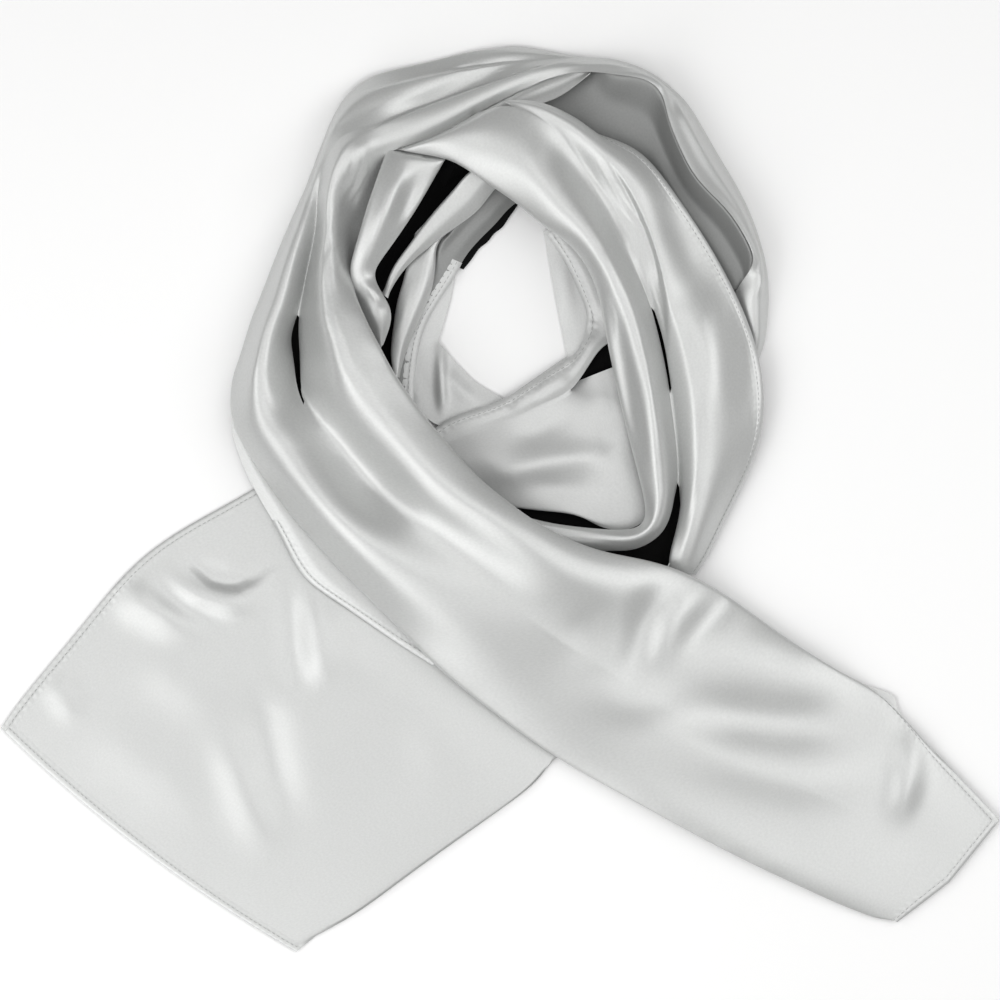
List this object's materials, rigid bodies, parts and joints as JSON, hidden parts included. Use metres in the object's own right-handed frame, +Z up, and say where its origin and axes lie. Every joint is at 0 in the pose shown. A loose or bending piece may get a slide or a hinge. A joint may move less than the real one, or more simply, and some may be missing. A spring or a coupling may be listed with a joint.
{
  "type": "satin scarf",
  "caption": "Long satin scarf wound into a loose ring and laid flat, its hemmed tails crossed in front, for dressing a table, shelf or shop display.",
  "frame": {"origin": "on the surface the scarf lies on, at the centre of its bounding box", "axes": "+Z up from the surface, +X towards the folded tail, to the right in a view from above with the ring at the top, +Y towards the top of the ring"},
  "size_m": [0.5975, 0.5437, 0.0476],
  "materials": {
    "satin": "silver-grey satin, glossy face",
    "satin_inside": "silver-grey satin, shaded inner layers"
  },
  "bodies": {
    "root": {"left_tail": "satin", "right_tail": "satin", "right_tail_under": "satin", "front_band": "satin", "under_strip": "satin", "left_loop": "satin", "top_folds": "satin", "top_flap": "satin_inside", "outer_rim": "satin", "inner_roll_and_collar": "satin", "inner_roll_end": "satin", "inner_fold_broad": "satin", "inner_fold_narrow": "satin", "inner_fold_low": "satin", "back_wall": "satin_inside", "back_layer": "satin_inside", "bowl": "satin_inside", "hidden_layers": "satin_inside"}
  },
  "joints": []
}
